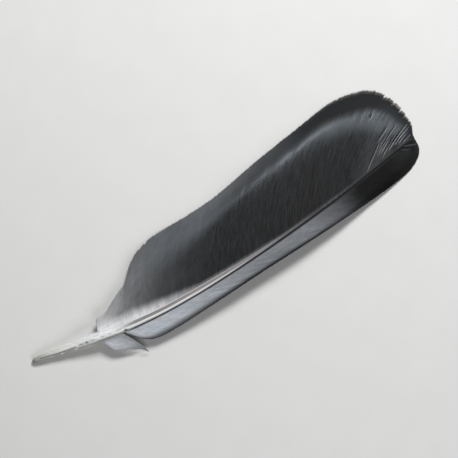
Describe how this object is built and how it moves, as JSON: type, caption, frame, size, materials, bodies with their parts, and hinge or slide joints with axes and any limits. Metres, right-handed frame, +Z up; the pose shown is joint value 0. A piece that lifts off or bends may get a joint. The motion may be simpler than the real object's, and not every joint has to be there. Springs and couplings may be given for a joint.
{
  "type": "goose quill feather",
  "caption": "Goose flight feather with a pale quill and shaft, a wide dark vane, a narrow pale vane and a loose basal tuft, lying on a flat surface.",
  "frame": {"origin": "middle of the bounding box's underside, on the surface that the feather lies on", "axes": "+X from the quill's end to the vane's tip, +Y towards the wide vane, +Z up, out of the feather's upper side"},
  "size_m": [0.2236, 0.0624, 0.0145],
  "materials": {
    "vane": "satin",
    "pale_vane": "satin",
    "shaft": "satin"
  },
  "bodies": {
    "root": {"feather": "vane"}
  },
  "joints": []
}
